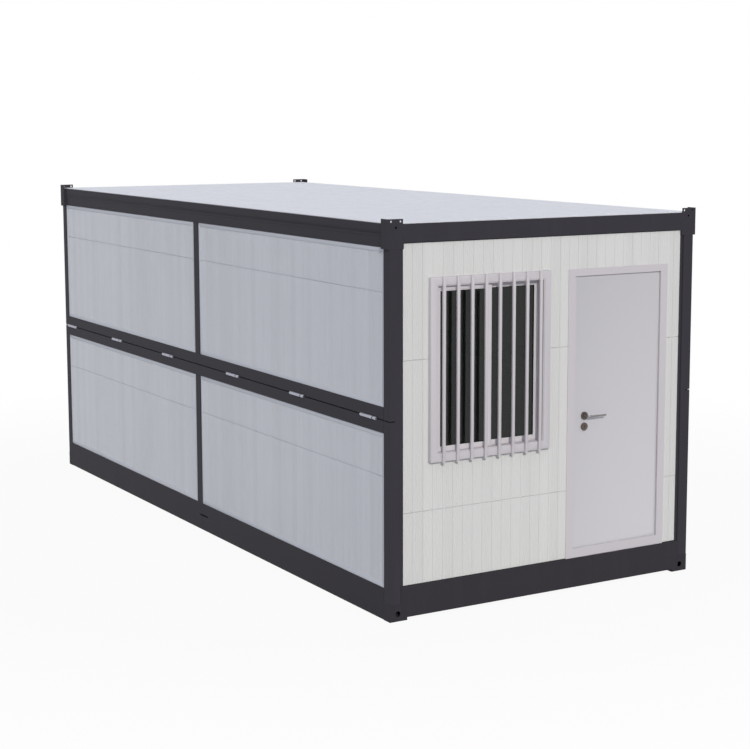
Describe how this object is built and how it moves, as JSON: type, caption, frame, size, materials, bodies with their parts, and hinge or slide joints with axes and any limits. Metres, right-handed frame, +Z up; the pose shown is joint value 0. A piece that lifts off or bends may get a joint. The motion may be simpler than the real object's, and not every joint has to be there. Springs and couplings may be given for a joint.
{
  "type": "folding container cabin",
  "caption": "Flat-roofed site cabin on a steel frame whose long sides fold at mid height, with a hinged door and a barred sliding window in one end.",
  "frame": {"origin": "middle of the underside, level with the feet", "axes": "+Z up, +Y along the cabin's length away from the door end, +X across its width"},
  "size_m": [2.5, 5.84, 2.585],
  "materials": {
    "frame_paint": "satin",
    "zinc": "zinc plated",
    "end_wall_skin": "satin coil coating",
    "side_wall_skin": "satin coil coating",
    "roof_skin": "satin coil coating",
    "floor_board": "board",
    "ceiling_board": "matt",
    "window_and_door_frame": "satin",
    "glass": "clear, tinted",
    "door_skin": "satin",
    "door_furniture": "brushed",
    "rubber_seal": "matt"
  },
  "bodies": {
    "cabin": {"base_beam_front": "frame_paint", "base_beam_rear": "frame_paint", "base_beam_left": "frame_paint", "base_beam_right": "frame_paint", "front_feet": "frame_paint", "rear_feet": "frame_paint", "floor_joists": "frame_paint", "floor_deck": "floor_board", "roof_beam_front": "frame_paint", "roof_beam_rear": "frame_paint", "roof_beam_left": "frame_paint", "roof_beam_right": "frame_paint", "front_top_fittings": "frame_paint", "rear_top_fittings": "frame_paint", "roof_purlins": "frame_paint", "roof_panel": "roof_skin", "ceiling": "ceiling_board", "left_lower_frame": "frame_paint", "left_upper_frame": "frame_paint", "right_lower_frame": "frame_paint", "right_upper_frame": "frame_paint", "left_lower_panels": "side_wall_skin", "left_upper_panels": "side_wall_skin", "right_lower_panels": "side_wall_skin", "right_upper_panels": "side_wall_skin", "left_fold_hinges": "zinc", "right_fold_hinges": "zinc", "left_fold_seal": "rubber_seal", "right_fold_seal": "rubber_seal", "front_wall_window_side": "end_wall_skin", "front_wall_door_side": "end_wall_skin", "front_wall_over_door": "end_wall_skin", "rear_wall": "end_wall_skin", "window_frame": "window_and_door_frame", "window_sash_left": "window_and_door_frame", "window_sash_right": "window_and_door_frame", "window_glass": "glass", "window_bars": "window_and_door_frame", "door_frame": "window_and_door_frame", "door_frame_hinges": "zinc"},
    "door": {"door_leaf": "door_skin", "door_leaf_hinges": "zinc", "door_rosettes": "door_furniture"},
    "handle": {"door_handle": "door_furniture"}
  },
  "joints": [
    {"name": "door_swing", "type": "hinge", "parent": "cabin", "child": "door", "pos_m": [0.971, -2.8225, 0], "axis": [0, 0, -1], "range_deg": [0, 95]},
    {"name": "lever_turn", "type": "hinge", "parent": "door", "child": "handle", "pos_m": [0.32, -2.856, 1.199], "axis": [0, 1, 0], "range_deg": [0, 40], "stiffness_Nm_per_rad": 1.5, "springref_deg": -28.65}
  ]
}
